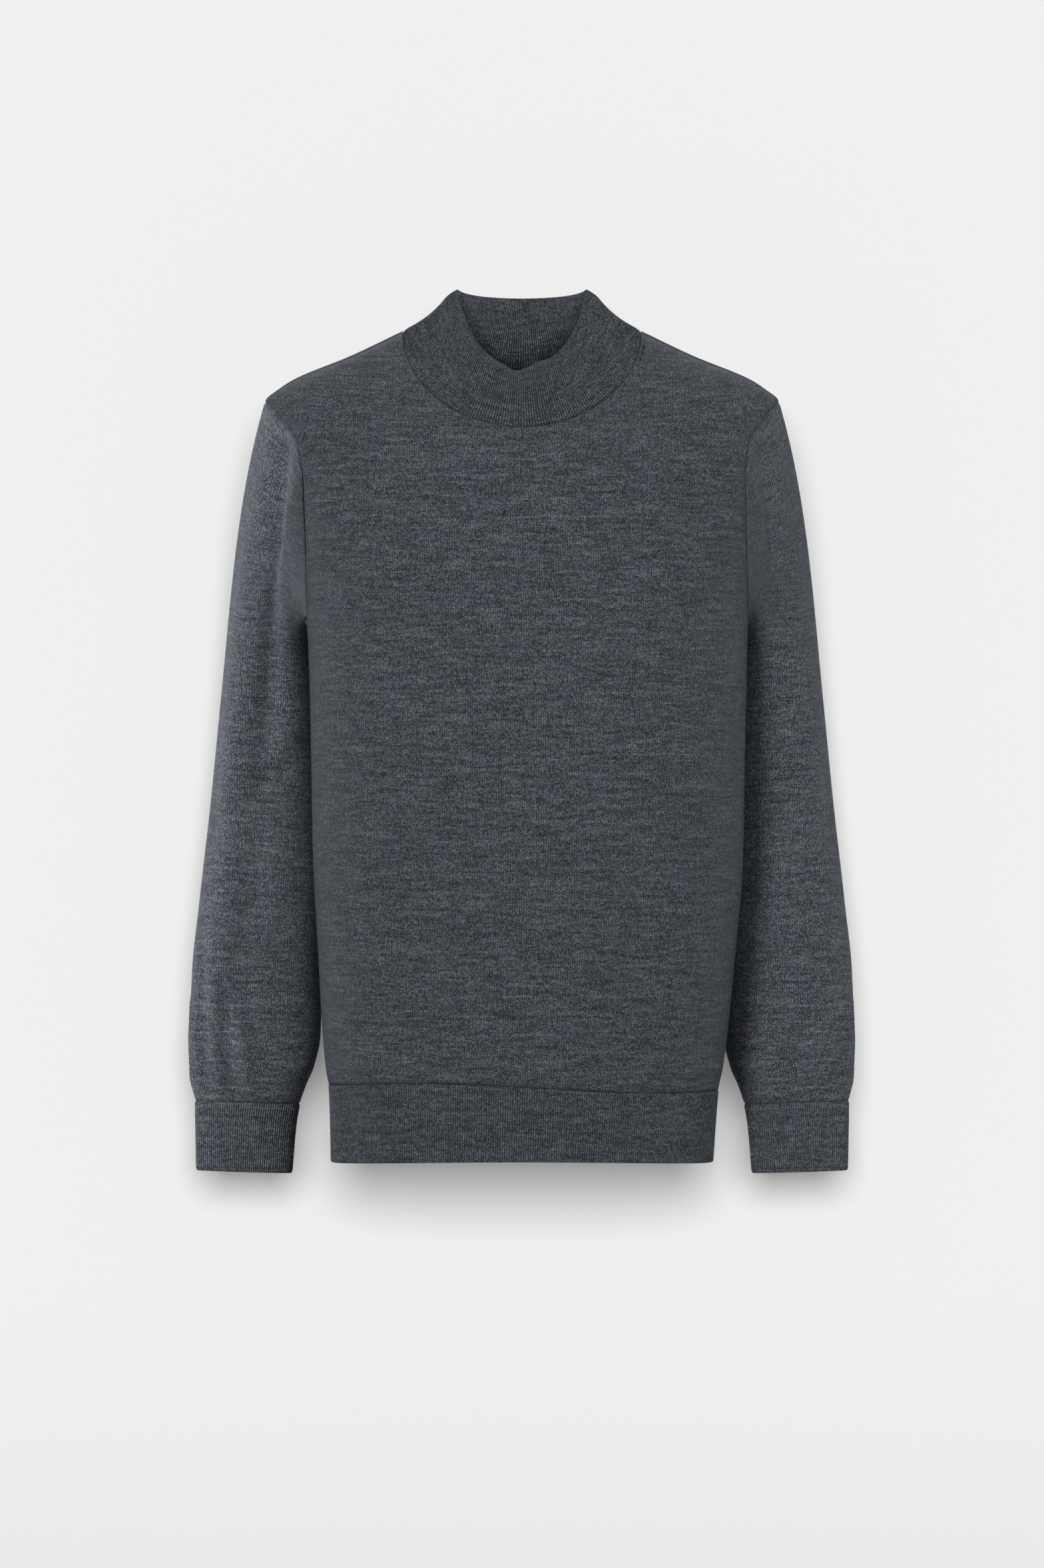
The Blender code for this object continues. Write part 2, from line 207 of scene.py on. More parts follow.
def smooth(keys, at):
    """The smooth curve through (place, value...) keys: cubics whose slope at a key is its slopes' harmonic mean."""
    table = np.array(sorted(keys), float)
    places, values = table[:, 0], table[:, 1:]
    gaps = np.diff(places)[:, None]
    rises = np.diff(values, axis=0) / gaps
    same_way = rises[:-1] * rises[1:] > 0
    mean = 2 * rises[:-1] * rises[1:] / np.where(same_way, rises[:-1] + rises[1:], 1)
    slopes = np.concatenate([rises[:1], np.where(same_way, mean, 0), rises[-1:]])
    at = np.asarray(at, float)
    i = np.clip(np.searchsorted(places, at, side="right") - 1, 0, len(gaps) - 1)
    share = ((at - places[i]) / gaps[i, 0])[..., None]
    found = cubic(share, values[i], gaps[i] * slopes[i], values[i + 1], gaps[i] * slopes[i + 1])
    return found[..., 0] if found.shape[-1] == 1 else found


def on_trunk(x, z, front):
    """The trunk's point above (x, z): a superellipse, y = depth * (1 - (x / half width)^n)^(1/n), at each height z."""
    power = FRONT_ROUND if front else BACK_ROUND
    depth = smooth(FRONT_DEPTH if front else BACK_DEPTH, z)
    across = np.clip(np.abs(x) / smooth(HALF_WIDTH, z), 0, 1)
    y = depth * (1 - across**power) ** (1 / power)
    plane = smooth(SIDE_PLANE, z)
    return np.stack([x + smooth(LEAN, z), plane - y if front else plane + y, z], axis=-1)


def column_places(neck_share):
    """Places across, -1 to 1, of a panel's columns: even ones within the neck's share, then closing up outwards."""
    middle = np.linspace(-neck_share, neck_share, NECK_STEPS + 1)
    turn = np.linspace(np.arcsin(neck_share), np.pi / 2, SHOULDER_STEPS + 1)[1:]
    return np.concatenate([-np.sin(turn[::-1]), middle, np.sin(turn)])


def top_edge(across, front):
    """(x, z) of a panel's top: the shoulder ridge, then half an ellipse of neck, then the other ridge."""
    drop = NECK_FRONT_DROP if front else NECK_BACK_DROP
    turn = np.clip(across / NECK_SHARE, -1, 1) * np.pi / 2
    heights = np.linspace(0, SHOULDER_Z, RIDGE_POINTS)
    widths = smooth(HALF_WIDTH, heights)
    ridge_z = np.interp(np.abs(across) * widths[-1], widths, heights)
    on_ridge = np.abs(across) >= NECK_SHARE
    x = np.where(on_ridge, np.sign(across) * smooth(HALF_WIDTH, ridge_z), NECK_HALF * np.sin(turn))
    return x, np.where(on_ridge, ridge_z, -drop * np.cos(turn))


def armhole_edge(rise):
    """(x, z) of the armhole, from the underarm at rise 0 to the shoulder point at 1."""
    z = UNDERARM_Z + (SHOULDER_Z - UNDERARM_Z) * (1 - np.cos(np.pi * rise)) / 2
    return smooth(ARMHOLE, z), z


def hem_seam(across, front):
    """Height of the line where the jersey is linked to the hem rib."""
    x = across * smooth(HALF_WIDTH, HEM_SEAM_Z)
    lift = HEM_FRONT_LIFT * (1 - across**2) if front else 0
    return HEM_SEAM_Z + lift - HEM_SEAM_WAVE * np.sin(2 * np.pi * x / HEM_SEAM_WAVELENGTH)


def panel_places(front):
    """(x, z) of a panel's grid: level rows to the underarms, then a patch between armholes, ridges and neck."""
    across = column_places(NECK_SHARE_BELOW)
    share = np.linspace(0, 1, TRUNK_ROWS + 1)[:-1, None]
    seam = hem_seam(across, front)
    low_z = seam + (UNDERARM_Z - seam) * share
    low_x = across * smooth(HALF_WIDTH, low_z)
    rise = np.arccos(1 - 2 * np.linspace(0, 1, ARMHOLE_STEPS + 1))[:, None] / np.pi
    arm_x, arm_z = armhole_edge(rise)
    top_x, top_z = top_edge(column_places(NECK_SHARE), front)
    under, shoulder = smooth(HALF_WIDTH, UNDERARM_Z), smooth(HALF_WIDTH, SHOULDER_Z)
    flat_x = (1 - rise) * under * across + rise * top_x
    high_x = flat_x + across * (arm_x - (1 - rise) * under - rise * shoulder)
    flat_z = (1 - rise) * UNDERARM_Z + rise * top_z
    high_z = flat_z + arm_z - (1 - rise) * UNDERARM_Z - rise * SHOULDER_Z
    return np.concatenate([low_x, high_x]), np.concatenate([low_z, high_z])


def bell(distance, breadth):
    """A soft bump, 1 in its middle: e^-(distance / breadth)^2."""
    return np.exp(-((distance / breadth) ** 2))


def soft_lines(x, z, lines):
    """Sum of soft ridges and troughs along straight lines: each its height times a bell of the distance from it."""
    total = np.zeros(np.broadcast(x, z).shape)
    for (x0, z0), (x1, z1), breadth, height in lines:
        run = np.array([x1 - x0, z1 - z0])
        along = np.clip(((x - x0) * run[0] + (z - z0) * run[1]) / (run @ run), 0, 1)
        away = np.hypot(x - x0 - along * run[0], z - z0 - along * run[1])
        total += height * bell(away, breadth)
    return total


def overhang(z):
    """How far the jersey bulges over the hem rib's pull: a bell a little above the seam."""
    return OVERHANG_HEIGHT * bell(z - HEM_SEAM_Z - OVERHANG_UP, OVERHANG_BREADTH)


def outward(grid, looped, flipped):
    """Unit normals of a grid, from the differences between its rows and columns."""
    along = np.gradient(grid, axis=0)
    around = np.gradient(grid, axis=1)
    if looped:
        around[:, 0] = around[:, -1] = (grid[:, 1] - grid[:, -2]) / 2
    normals = np.cross(around, along) * (-1 if flipped else 1)
    return normals / np.maximum(np.linalg.norm(normals, axis=-1, keepdims=True), 1e-9)


def length_between(points):
    """Length of the polyline through points, along the last axis but one."""
    return np.linalg.norm(np.diff(points, axis=-2), axis=-1).sum(-1)


def length_along(points, axis=0):
    """Length run so far along one axis of a grid of points, from 0."""
    steps = np.linalg.norm(np.diff(points, axis=axis), axis=-1)
    return np.insert(np.cumsum(steps, axis=axis), 0, 0, axis=axis)


def panel_layout(x, z, front):
    """Where each point lies on the knitted panel: metres across from its middle line and up from the underarm."""
    steps = np.linspace(0, 1, LAYOUT_STEPS + 1)
    u = length_between(on_trunk(x[..., None] * steps, z[..., None] + 0 * steps, front))
    up_from = UNDERARM_Z + (z[..., None] - UNDERARM_Z) * steps
    v = length_between(on_trunk(x[..., None] + 0 * steps, up_from, front))
    return np.stack([np.sign(x) * u, np.sign(z - UNDERARM_Z) * v], axis=-1)


def rounded_wall(distance, wall):
    """Half the wall's thickness this far from its edge: wall / 2, rounded off like a half circle at the edge."""
    near = np.clip(1 - distance / (EDGE_ROUND_REACH * wall), 0, 1)
    return wall / 2 * np.sqrt(1 - EDGE_ROUND_SHARE * near**2)


def knitted_shell(
    name, grid, layout, wall, looped=False, flipped=False, relief=0.0, both=0.0, sink=LINKING_SINK, free=None
):
    """A closed wall of even thickness: outer skin, inner skin and rims, its edges rounded. relief moves both skins
    along the normals together, both pushes the two skins apart, as ribs do, and sink draws the edges in, as the yarn
    that joins a seam does. free is the row, 0 or -1, of an edge that isn't linked to anything. The layout becomes its
    UV map, and a point attribute, 1 along the linked edges, marks where painted shade darkens the seams."""
    rows, columns = grid.shape[:2]
    grid = grid + outward(grid, looped, flipped) * np.broadcast_to(relief, (rows, columns))[..., None]
    normals = outward(grid, looped, flipped)
    from_low = length_along(grid)
    from_ends = {0: from_low, -1: from_low[-1] - from_low}
    distance = np.minimum(from_ends[0], from_ends[-1])
    seam_shade = distance if free is None else from_ends[-1 - free]
    if not looped:
        from_side = length_along(grid, axis=1)
        from_side = np.minimum(from_side, from_side[:, -1:] - from_side)
        distance, seam_shade = np.minimum(distance, from_side), np.minimum(seam_shade, from_side)
    half = rounded_wall(distance, wall)
    middle = grid - normals * (wall / 2 + sink * bell(distance, LINKING_SINK_BREADTH))[..., None]
    skins = [middle + side * normals * (half + both)[..., None] for side in (1, -1)]
    kept = columns - 1 if looped else columns
    points = np.concatenate([skin[:, :kept].reshape(-1, 3) for skin in skins])

    number = np.arange(rows * columns).reshape(rows, columns)
    a, b, c, d = number[:-1, :-1], number[:-1, 1:], number[1:, 1:], number[1:, :-1]
    skin = np.stack([a, b, c, d], axis=-1).reshape(-1, 4)
    count = rows * columns
    if looped:
        edges = [number[0], number[-1, ::-1]]
    else:
        edges = [np.concatenate([number[0], number[1:, -1], number[-1, -2::-1], number[-2::-1, 0]])]
    rims = [np.stack([e[1:], e[:-1], e[:-1] + count, e[1:] + count], axis=-1) for e in edges]
    corners = np.concatenate([skin, skin[:, ::-1] + count, *rims])
    if flipped:
        corners = corners[:, ::-1]
    side, place = np.divmod(corners, count)
    row, column = np.divmod(place, columns)
    faces = side * rows * kept + row * kept + column % kept

    mesh = bpy.data.meshes.new(name)
    mesh.from_pydata(points, [], faces.tolist())
    uv = mesh.uv_layers.new(name="layout")
    uv.data.foreach_set("uv", layout.reshape(-1, 2)[place.reshape(-1)].astype(np.float32).ravel())
    # Painted shade along the linked seams: a mask, 1 at a linked edge and fading away from it, kept as a point
    # attribute.
    seam_shade_mask = bell(seam_shade[:, :kept], SEAM_SHADE_BREADTH).astype(np.float32).ravel()
    mesh.attributes.new("seam_shade_mask", "FLOAT", "POINT").data.foreach_set("value", np.concatenate([seam_shade_mask, seam_shade_mask]))
    mesh.shade_smooth()
    made = bpy.data.objects.new(name, mesh)
    bpy.context.scene.collection.objects.link(made)
    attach(made, "root")
    return made


def linked(tree, socket, value):
    """Joins value, a socket or a plain number, to an input socket."""
    if isinstance(value, bpy.types.NodeSocket):
        tree.links.new(value, socket)
    elif value is not None:
        socket.default_value = value


def placed(tree, kind, *values, **settings):
    """Adds a node, with its settings and the values of its first inputs."""
    node = tree.nodes.new(kind)
    for key, value in settings.items():
        setattr(node, key, value)
    for socket, value in zip(node.inputs, values):
        linked(tree, socket, value)
    return node


def set_inputs(tree, node, values):
    """Gives a node's inputs, by name, their values or the sockets that feed them."""
    for label, value in values.items():
        linked(tree, node.inputs[label], value)


def maths(tree, operation, *values):
    """The output of a Math node."""
    return placed(tree, "ShaderNodeMath", *values, operation=operation).outputs[0]


def noise(tree, x, y, z, detail):
    """Smooth noise, 0 to 1, at a point given by three sockets or numbers."""
    point = placed(tree, "ShaderNodeCombineXYZ", x, y, z).outputs[0]
    found = placed(tree, "ShaderNodeTexNoise", noise_dimensions="3D")
    set_inputs(tree, found, {"Vector": point, "Scale": 1.0, "Detail": detail, "Roughness": 0.6})
    return found.outputs["Fac"]


def shader_group(name, inputs, outputs):
    """A shader node group with named inputs and outputs, and its input and output nodes."""
    tree = bpy.data.node_groups.new(name, "ShaderNodeTree")
    for way, sockets in (("INPUT", inputs), ("OUTPUT", outputs)):
        for label, kind in sockets:
            tree.interface.new_socket(label, in_out=way, socket_type=kind)
    return tree, tree.nodes.new("NodeGroupInput"), tree.nodes.new("NodeGroupOutput")


def colour_ramp(tree, value, stops):
    """The colour at a value between stops, each (place, red, green, blue)."""
    node = placed(tree, "ShaderNodeValToRGB", value)
    elements = node.color_ramp.elements
    for end in (0, -1):
        place, *colour = stops[end]
        elements[end].position, elements[end].color = place, (*colour, 1)
    for place, *colour in stops[1:-1]:
        elements.new(place).color = (*colour, 1)
    return node.outputs["Color"]


# The yarn's shades from its darkest lengths to its lightest, and the tints that drift along it, each (place, red,
# green, blue). Then how much each pattern adds to the shade: long and short streaks, single stitches, stray fibres
# and broad clouds. A grain is how many patches a pattern has to the metre, across and up.
YARN_SHADES = [
    (0.00, 0.013, 0.015, 0.019),
    (0.30, 0.031, 0.036, 0.042),
    (0.52, 0.062, 0.071, 0.083),
    (0.76, 0.110, 0.124, 0.142),
    (1.00, 0.180, 0.194, 0.210),
]
YARN_TINTS = [(0.30, 0.95, 1.00, 1.07), (0.70, 1.06, 1.00, 0.97)]
STREAK_SHARE = 0.85
SHORT_STREAK_SHARE = 0.40
STITCH_SHARE = 0.60
FIBRE_SHARE = 2.0
CLOUD_SHARE = 0.50
FIBRE_GRAIN = (1100.0, 1500.0)
CLOUD_GRAIN = (26.0, 240.0)
WANDER_GRAIN = (40.0, 40.0)
SHORT_STREAKS_TO_A_STREAK = 4.0
TINTS_TO_A_STREAK = 0.8
STITCHES_TO_A_COURSE = 1.4
COURSE_WANDER = 0.0035
YARN_START_SPREAD = 90.0
COURSE_DRIFT = 0.61
COURSE_PITCH = 0.00125


def grained_noise(tree, u, v, grain, layer):
    """Smooth noise over the layout, with so many patches to the metre across and up, and unlike on each layer."""
    return noise(tree, maths(tree, "MULTIPLY", u, grain[0]), maths(tree, "MULTIPLY", v, grain[1]), layer, 1.0)


def make_heather_group():
    """Heathered yarn: each course is a stretch of yarn whose shade drifts from dark to light in streaks, with loose
    fibres over it. Blue-grey, with some lengths bluer and some browner. Shade = a half, plus the contrast times the
    sum of each pattern's value less a half, times its share."""
    inputs = [
        ("Layout", "NodeSocketVector"),
        ("Course", "NodeSocketFloat"),
        ("Streak", "NodeSocketFloat"),
        ("Contrast", "NodeSocketFloat"),
    ]
    tree, given, put_out = shader_group("heathered_yarn", inputs, [("Color", "NodeSocketColor")])
    split = placed(tree, "ShaderNodeSeparateXYZ", given.outputs["Layout"])
    u, v = split.outputs[0], split.outputs[1]
    wander = grained_noise(tree, u, v, WANDER_GRAIN, 3.0)
    v = maths(tree, "ADD", v, maths(tree, "MULTIPLY", wander, COURSE_WANDER))
    course = maths(tree, "FLOOR", maths(tree, "DIVIDE", v, given.outputs["Course"]))
    jump = placed(tree, "ShaderNodeTexWhiteNoise", noise_dimensions="1D")
    linked(tree, jump.inputs["W"], course)
    start = maths(tree, "MULTIPLY", jump.outputs["Value"], YARN_START_SPREAD)
    along = maths(tree, "ADD", maths(tree, "DIVIDE", u, given.outputs["Streak"]), start)
    row = maths(tree, "MULTIPLY", course, COURSE_DRIFT)
    streak = noise(tree, along, row, 0.0, 2.0)
    short = noise(tree, maths(tree, "MULTIPLY", along, SHORT_STREAKS_TO_A_STREAK), row, 7.0, 1.0)
    column = maths(tree, "DIVIDE", maths(tree, "MULTIPLY", u, STITCHES_TO_A_COURSE), given.outputs["Course"])
    column = maths(tree, "FLOOR", column)
    stitch = placed(tree, "ShaderNodeTexWhiteNoise", noise_dimensions="2D")
    linked(tree, stitch.inputs["Vector"], placed(tree, "ShaderNodeCombineXYZ", column, course).outputs[0])
    fibre = grained_noise(tree, u, v, FIBRE_GRAIN, 2.0)
    cloud = grained_noise(tree, u, v, CLOUD_GRAIN, 5.0)
    total = None
    for part, weight in (
        (streak, STREAK_SHARE),
        (short, SHORT_STREAK_SHARE),
        (stitch.outputs["Value"], STITCH_SHARE),
        (fibre, FIBRE_SHARE),
        (cloud, CLOUD_SHARE),
    ):
        share = maths(tree, "MULTIPLY", maths(tree, "SUBTRACT", part, 0.5), weight)
        total = share if total is None else maths(tree, "ADD", total, share)
    total = maths(tree, "ADD", maths(tree, "MULTIPLY", total, given.outputs["Contrast"]), 0.5)
    tint = noise(tree, maths(tree, "MULTIPLY", along, TINTS_TO_A_STREAK), row, 21.0, 1.0)
    mixed = placed(tree, "ShaderNodeMix", data_type="RGBA", blend_type="MULTIPLY")
    mixed.inputs["Factor"].default_value = 1.0
    colours = [s for s in mixed.inputs if s.type == "RGBA"]
    linked(tree, colours[0], colour_ramp(tree, total, YARN_SHADES))
    linked(tree, colours[1], colour_ramp(tree, tint, YARN_TINTS))
    linked(tree, put_out.inputs["Color"], next(s for s in mixed.outputs if s.type == "RGBA"))
    return tree


STITCH_SLANT = 1.3
LEG_ROUND = 0.6
LOOP_ROUND = 0.5


def make_stitch_group():
    """Knit stitches: columns of Vs. Height = |sin| of the place across a wale, times a wave up it whose phase falls
    away from the wale's middle, each raised to a power that rounds it."""
    inputs = [("Layout", "NodeSocketVector"), ("Wale", "NodeSocketFloat"), ("Course", "NodeSocketFloat")]
    tree, given, put_out = shader_group("knit_stitches", inputs, [("Height", "NodeSocketFloat")])
    split = placed(tree, "ShaderNodeSeparateXYZ", given.outputs["Layout"])
    wale = maths(tree, "DIVIDE", split.outputs[0], given.outputs["Wale"])
    course = maths(tree, "DIVIDE", split.outputs[1], given.outputs["Course"])
    off_middle = maths(tree, "ABSOLUTE", maths(tree, "SUBTRACT", maths(tree, "FRACT", wale), 0.5))
    leg = maths(tree, "ABSOLUTE", maths(tree, "SINE", maths(tree, "MULTIPLY", wale, 2 * np.pi)))
    phase = maths(tree, "SUBTRACT", course, maths(tree, "MULTIPLY", off_middle, STITCH_SLANT))
    loop = maths(tree, "ABSOLUTE", maths(tree, "SINE", maths(tree, "MULTIPLY", phase, np.pi)))
    height = maths(tree, "MULTIPLY", maths(tree, "POWER", leg, LEG_ROUND), maths(tree, "POWER", loop, LOOP_ROUND))
    linked(tree, put_out.inputs["Height"], height)
    return tree


heathered_yarn = make_heather_group()
knit_stitches = make_stitch_group()


# What every wool of the sweater shares: a matt surface with the faint bluish sheen of its fuzz.
WOOL_SURFACE = {
    "Roughness": 0.88,
    "Specular IOR Level": 0.25,
    "Sheen Weight": 0.16,
    "Sheen Roughness": 0.45,
    "Sheen Tint": (0.80, 0.88, 1.0, 1),
}
FUZZ_SCALE = 900.0
FUZZ_HEIGHT = 0.7
# How far up the wave across a wale the painted shade in its gap fades out.
GROOVE_SHADE_TOP = 0.6
STITCH_STRENGTH = 0.8


def darkened(tree, colour, factor):
    """A colour times a factor."""
    scaled = placed(tree, "ShaderNodeVectorMath", colour, operation="SCALE")
    linked(tree, scaled.inputs["Scale"], factor)
    return scaled.outputs[0]


def wool(name, wale, streak, contrast, relief, groove_shade, seam_shade):
    """Wool knit: heathered colour, stitches and stray fibres as bump, and the soft sheen of its fuzz. Painted shade
    darkens the colour in the gaps between the wales and along the linked seams, each by its own given share."""
    material = bpy.data.materials.new(name)
    material.use_nodes = True
    tree = material.node_tree
    shader = tree.nodes["Principled BSDF"]
    layout = placed(tree, "ShaderNodeUVMap", uv_map="layout").outputs[0]
    yarn = placed(tree, "ShaderNodeGroup", node_tree=heathered_yarn)
    set_inputs(tree, yarn, {"Layout": layout, "Course": COURSE_PITCH, "Streak": streak, "Contrast": contrast})
    across = placed(tree, "ShaderNodeSeparateXYZ", layout).outputs[0]
    # Painted shade in the gaps between the wales: the colour darkens towards each gap by the given share.
    wave = maths(tree, "COSINE", maths(tree, "MULTIPLY", across, 2 * np.pi / wale))
    groove_shade_range = (-1.0, GROOVE_SHADE_TOP, 1.0 - groove_shade, 1.0)
    depth = placed(tree, "ShaderNodeMapRange", wave, *groove_shade_range, interpolation_type="SMOOTHSTEP")
    # The mask of painted seam shade darkens the colour along the linked edges, by the given share.
    seam_shade_mask = placed(tree, "ShaderNodeAttribute", attribute_name="seam_shade_mask").outputs["Fac"]
    at_edge = maths(tree, "SUBTRACT", 1.0, maths(tree, "MULTIPLY", seam_shade_mask, seam_shade))
    colour = darkened(tree, darkened(tree, yarn.outputs["Color"], depth.outputs["Result"]), at_edge)
    stitches = placed(tree, "ShaderNodeGroup", node_tree=knit_stitches)
    set_inputs(tree, stitches, {"Layout": layout, "Wale": wale, "Course": COURSE_PITCH})
    fuzz = placed(tree, "ShaderNodeTexNoise", noise_dimensions="3D")
    set_inputs(tree, fuzz, {"Vector": layout, "Scale": FUZZ_SCALE, "Detail": 2.0})
    fibres = maths(tree, "MULTIPLY", fuzz.outputs["Fac"], FUZZ_HEIGHT)
    height = maths(tree, "ADD", stitches.outputs["Height"], fibres)
    bump = placed(tree, "ShaderNodeBump")
    set_inputs(tree, bump, {"Strength": STITCH_STRENGTH, "Distance": relief, "Height": height})
    set_inputs(tree, shader, {**WOOL_SURFACE, "Base Color": colour, "Normal": bump.outputs["Normal"]})
    return material


# The jersey's colour carries light painted shade between its wales and along its seams.
jersey = wool("wool_jersey", wale=0.0019, streak=0.022, contrast=1.0, relief=0.00035, groove_shade=0.38, seam_shade=0.2)

for name, front, folds, cut, area, seams in (
    ("front_panel", True, FRONT_FOLDS, (0.505, 0.640), 0.270, ("front_shell", "hem_rib_front", "collar")),
    ("back_panel", False, BACK_FOLDS, (0.500, 0.670), 0.290, ("back_shell", "hem_rib_back", "collar")),
):
    x, z = panel_places(front)
    across = np.abs(x) / smooth(HALF_WIDTH, z)
    calm = np.clip((1 - across) / CALM_SIDE_SHARE, 0, 1) * np.clip((z - HEM_SEAM_Z) / CALM_HEM, 0, 1)
    bulge = overhang(z) * np.clip((1 - across) / OVERHANG_SIDE_SHARE, 0, 1)
    made = knitted_shell(
        seams[0],
        on_trunk(x, z, front),
        panel_layout(x, z, front),
        JERSEY_WALL,
        flipped=not front,
        relief=soft_lines(x, z, folds) * calm + bulge,
        sink=0.0,
    )
    made.data.materials.append(jersey)
    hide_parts(name)


# ---- Hem rib ---------------------------------------------------------------------------------------------------------
# A band of 1x1 rib in the same wool, 60 mm deep, linked to each panel's lower edge and joined at the side seams. The
# rib stands in fine upright ridges and pulls the hem in slightly.

RIB_WALL = 0.0022
HEM_Z = -0.6795
HEM_RIB_PITCH = 0.0019
HEM_LINE_POINTS = 400
RIB_HEIGHT = 0.00032
RIB_SQUARENESS = 0.8
RIB_FADE = 60
RIB_EDGE_SHARE = 0.25
STEPS_PER_RIB = 5
RIB_ROWS = 16
EDGE_ROWS = (0.0004, 0.0010)


def rib_wave(u, pitch):
    """Ribs across u: a cosine squared up a little, so the ridges are broader than the grooves."""
    wave = np.cos(2 * np.pi * u / pitch)
    return RIB_HEIGHT * np.sign(wave) * np.abs(wave) ** RIB_SQUARENESS


def rib_share(share, least):
    """How much of the ribs' height stands, share of the way up a band: all but near its edges, at least least."""
    return np.clip(np.minimum(share, 1 - share) * RIB_FADE, least, 1)


def edge_rows(count, length):
    """Shares, 0 to 1, of rows that close up towards both ends of a length, so that its edges can be rounded."""
    inner = np.linspace(0, 1, count)[1:-1]
    near = np.array(EDGE_ROWS) / length
    return np.concatenate([[0], near, inner, 1 - near[::-1], [1]])


# The rib's colour carries painted shade in its grooves but none along its seams.
rib_knit = wool(
    "wool_rib", wale=HEM_RIB_PITCH, streak=0.016, contrast=0.9, relief=0.00022, groove_shade=0.55, seam_shade=0.0
)

for name, front in (("hem_rib_front", True), ("hem_rib_back", False)):
    turn = np.linspace(-np.pi / 2, np.pi / 2, HEM_LINE_POINTS)
    run = length_along(on_trunk(smooth(HALF_WIDTH, HEM_Z) * np.sin(turn), HEM_Z + 0 * turn, front))
    ribs = round(run[-1] / HEM_RIB_PITCH)
    place = np.linspace(0, run[-1], ribs * STEPS_PER_RIB + 1)
    across = np.sin(np.interp(place, run, turn))
    low = HEM_Z + (HEM_FRONT_LIFT * (1 - across**2) if front else 0)
    share = edge_rows(RIB_ROWS, HEM_SEAM_Z - HEM_Z)[:, None]
    z = low + (hem_seam(across, front) - low) * share
    x = across * smooth(HALF_WIDTH, z)
    ridges = rib_wave(place, run[-1] / ribs) * rib_share(share, RIB_EDGE_SHARE)
    number = place * ribs / run[-1]
    made = knitted_shell(
        f"{name}_band",
        on_trunk(x, z, front),
        np.stack([number * HEM_RIB_PITCH + 0 * z, z], axis=-1),
        RIB_WALL,
        flipped=not front,
        both=ridges,
        sink=0.0,
        free=0,
    )
    made.data.materials.append(rib_knit)
    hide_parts(name)


# ---- Sleeves ---------------------------------------------------------------------------------------------------------
# Two set-in sleeves of the same jersey, each linked round its armhole and closed by a seam under the arm. They hang
# beside the trunk with a soft bend at the elbow and gather a little where the cuff grips.

CAP_END_Z = -0.300
CUFF_SEAM_Z = -0.633
SLEEVE = [
    (-0.692, 0.2287, 0.038, 0.0393, 0.0125),
    (-0.650, 0.2273, 0.039, 0.0415, 0.0155),
    (-0.633, 0.2260, 0.040, 0.0432, 0.0170),
    (-0.618, 0.2252, 0.041, 0.0472, 0.0200),
    (-0.604, 0.2226, 0.042, 0.0507, 0.0230),
    (-0.577, 0.2200, 0.045, 0.0540, 0.0260),
    (-0.522, 0.2182, 0.049, 0.0535, 0.0310),
    (-0.468, 0.2140, 0.055, 0.0520, 0.0360),
    (-0.386, 0.2095, 0.064, 0.0475, 0.0410),
    (CAP_END_Z, 0.2060, 0.065, 0.0425, 0.0455),
]
SLEEVE_ROUND = 2.2
CUFF_TILT = 0.03
CAP_START = np.array(
    [
        (0.070, 0.010, -0.237),
        (0.070, 0.020, -0.120),
        (0.000, 0.080, -0.040),
        (0.080, 0.060, -0.080),
    ]
)
CAP_END_PULL = np.array([0.245, 0.180, 0.200, 0.170])
SLEEVE_COLUMNS = 96
CAP_ROWS = 70
ARM_ROWS = 120

# Folds on a sleeve, on its layout: start (across, up), end (across, up), breadth, height. Across is from the outer
# line, positive to the front; up is from the cuff. The wearer's right sleeve (-1) has them whole and the left (1) in
# part, and they die away at the underarm seam, the cuff and the armhole. In the cap the courses rise to both sides.
SLEEVE_FOLDS = [
    ((0.040, 0.520), (0.039, 0.100), 0.0130, 0.0042),
    ((0.050, 0.575), (0.070, 0.470), 0.0100, -0.0085),
    ((0.073, 0.453), (0.067, 0.300), 0.0105, -0.0055),
    ((0.067, 0.283), (0.065, 0.160), 0.0105, -0.0020),
    ((0.088, 0.300), (0.020, 0.250), 0.0090, 0.0014),
    ((0.086, 0.275), (0.026, 0.228), 0.0070, -0.0015),
    ((-0.020, 0.330), (-0.085, 0.280), 0.0110, 0.0015),
    ((-0.024, 0.300), (-0.090, 0.245), 0.0090, -0.0015),
    ((0.022, 0.120), (0.021, 0.004), 0.0045, -0.0020),
    ((0.033, 0.105), (0.032, 0.004), 0.0045, 0.0022),
    ((0.044, 0.090), (0.044, 0.004), 0.0040, -0.0020),
    ((0.055, 0.075), (0.057, 0.004), 0.0045, 0.0018),
    ((-0.030, 0.080), (-0.028, 0.004), 0.0050, 0.0013),
    ((-0.044, 0.080), (-0.045, 0.004), 0.0045, -0.0013),
    ((-0.060, 0.070), (-0.062, 0.004), 0.0050, 0.0012),
    ((0.004, 0.080), (0.004, 0.004), 0.0050, 0.0010),
]
FOLDS_SHARE = {-1: 1.0, 1: 0.4}
UNDERARM_CALM_TURN = 0.5
CUFF_CALM = (0.003, 0.015)
ARMHOLE_CALM_ROWS = 8
CAP_TILT = 0.5
CAP_TILT_RISE = 0.16


def sleeve_ring(side, turn, z):
    """A sleeve's level ring, a superellipse: turn is 0 at its outer line and a quarter at its front."""
    middle_x, middle_y, wide, deep = np.moveaxis(smooth(SLEEVE, z), -1, 0)
    out, ahead = (np.sign(c) * np.abs(c) ** (2 / SLEEVE_ROUND) for c in (np.cos(turn), np.sin(turn)))
    x, y = middle_x + wide * out, middle_y - deep * ahead
    return np.stack([side * x, y + 0 * x, z + CUFF_TILT * wide * out], axis=-1)


